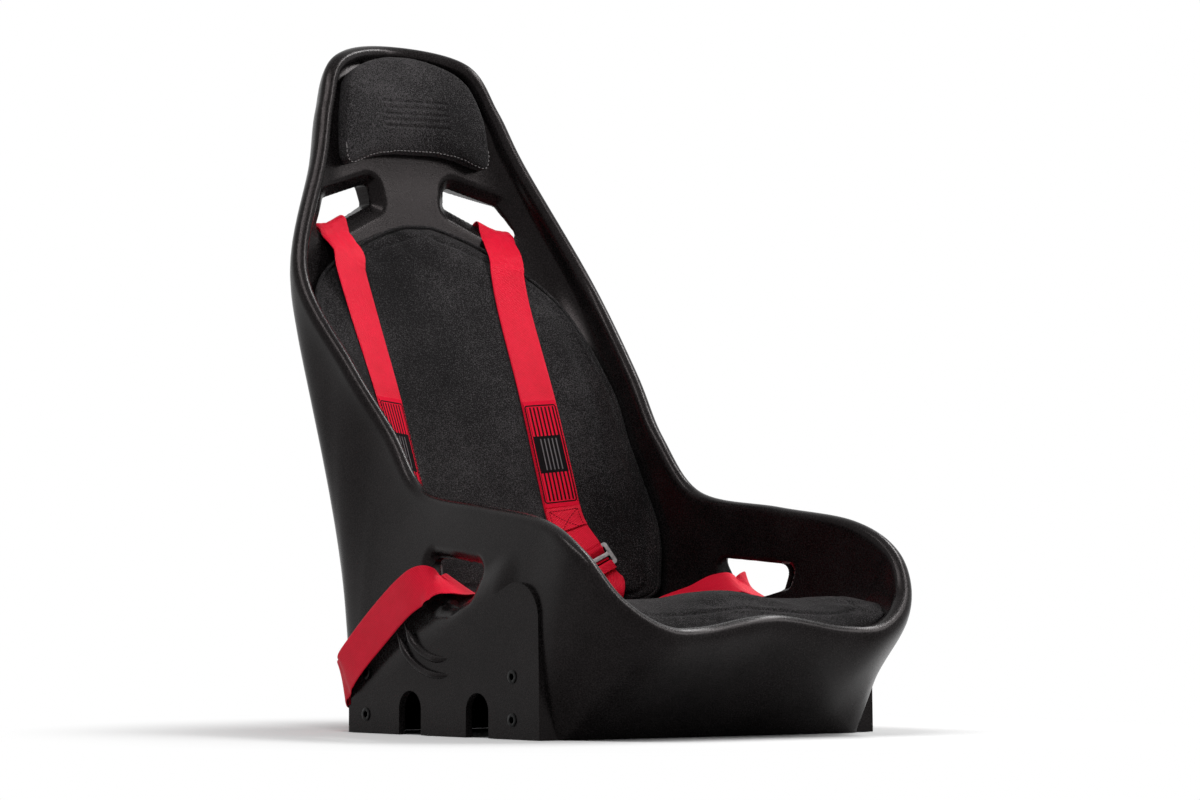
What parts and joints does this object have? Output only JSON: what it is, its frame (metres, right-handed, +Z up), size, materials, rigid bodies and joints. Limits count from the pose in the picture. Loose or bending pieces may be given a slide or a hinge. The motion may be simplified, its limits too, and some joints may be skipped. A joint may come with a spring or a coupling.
{
  "type": "bucket racing seat",
  "caption": "Fixed-back bucket racing seat: one-piece moulded shell with side wings, harness slots and side mounting holes, soft pads and a webbing harness with a push-button buckle",
  "frame": {"origin": "on the floor in the plane of symmetry, midway between the front and rear mounting holes, 22 mm below the lower holes", "axes": "+Z up, the seat faces -Y, +X to the left side of a person in it"},
  "size_m": [0.5202, 0.8049, 0.8587],
  "materials": {
    "shell_plastic": "fine-grained moulded black",
    "pad_fabric": "fine matte black cloth",
    "hook_tape": "black hook tape",
    "webbing": "woven red webbing",
    "label": "woven black with fine red lines",
    "steel": "satin zinc",
    "cover_plastic": "satin black",
    "button_plastic": "satin red"
  },
  "bodies": {
    "seat": {"seat_shell": "shell_plastic", "mount_inserts_right": "steel", "mount_inserts_left": "steel", "head_pad": "pad_fabric", "back_pad": "pad_fabric", "seat_cushion": "pad_fabric", "head_pad_hook_strips": "hook_tape", "back_pad_hook_strips": "hook_tape", "cushion_hook_strips": "hook_tape", "shoulder_strap_right": "webbing", "shoulder_strap_left": "webbing", "strap_label_right": "label", "strap_label_left": "label", "shoulder_adjuster_right": "steel", "shoulder_adjuster_left": "steel", "shoulder_tail_right": "webbing", "shoulder_tail_left": "webbing", "lap_strap_right": "webbing", "lap_strap_left": "webbing", "buckle_body": "steel", "buckle_cover": "cover_plastic", "button_spring": "steel", "latch_pin": "steel", "buckle_tongue": "steel", "rear_anchor_right": "steel", "rear_anchor_left": "steel", "anchor_bolts": "steel"},
    "button": {"buckle_button": "button_plastic"},
    "latch": {"buckle_latch": "steel"}
  },
  "joints": [
    {"name": "button_slide", "type": "slide", "parent": "seat", "child": "button", "axis": [0, 0, -1], "range_m": [0, 0.004], "stiffness_N_per_m": 1200, "springref_m": -0.003, "deforming": ["button_spring"]},
    {"name": "latch_pivot", "type": "hinge", "parent": "seat", "child": "latch", "pos_m": [-0.006, 0.095, 0.1386], "axis": [0, -1, 0], "range_deg": [0, 14.7]}
  ],
  "couplings": [
    {"joint": "latch_pivot", "follows": "button_slide", "rad_per_m": 64}
  ]
}
